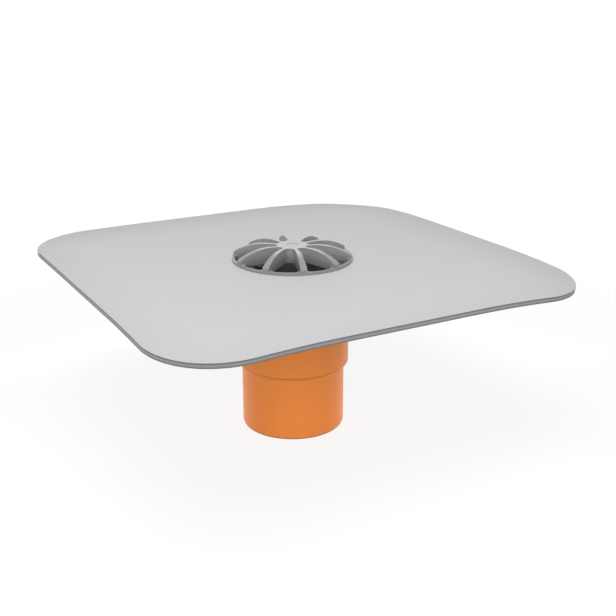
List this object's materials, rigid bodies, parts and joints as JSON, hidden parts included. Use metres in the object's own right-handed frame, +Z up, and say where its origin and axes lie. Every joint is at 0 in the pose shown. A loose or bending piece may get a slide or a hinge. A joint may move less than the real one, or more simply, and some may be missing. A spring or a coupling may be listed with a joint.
{
  "type": "balcony drain",
  "caption": "Vertical balcony drain: square flexible membrane collar on a rigid funnel, plugged into a socketed sewer pipe outlet, with a low finned leaf catcher over the inlet.",
  "frame": {"origin": "centre of the spigot's lower end, on which the drain stands", "axes": "+Z up along the pipe's axis, X and Y along the sides of the square collar"},
  "size_m": [0.45, 0.45, 0.199],
  "materials": {
    "collar_sheet": "soft PVC sheet, light grey, finely embossed",
    "funnel_plastic": "rigid PVC, dark grey, moulded",
    "orange_pipe": "rigid PVC, orange-brown, satin",
    "seal_rubber": "black rubber, matt",
    "catcher_plastic": "moulded plastic, grey, satin"
  },
  "bodies": {
    "root": {"membrane_collar": "collar_sheet", "drain_funnel": "funnel_plastic", "outlet_pipe": "orange_pipe", "lip_seal": "seal_rubber", "leaf_catcher": "catcher_plastic"}
  },
  "joints": []
}
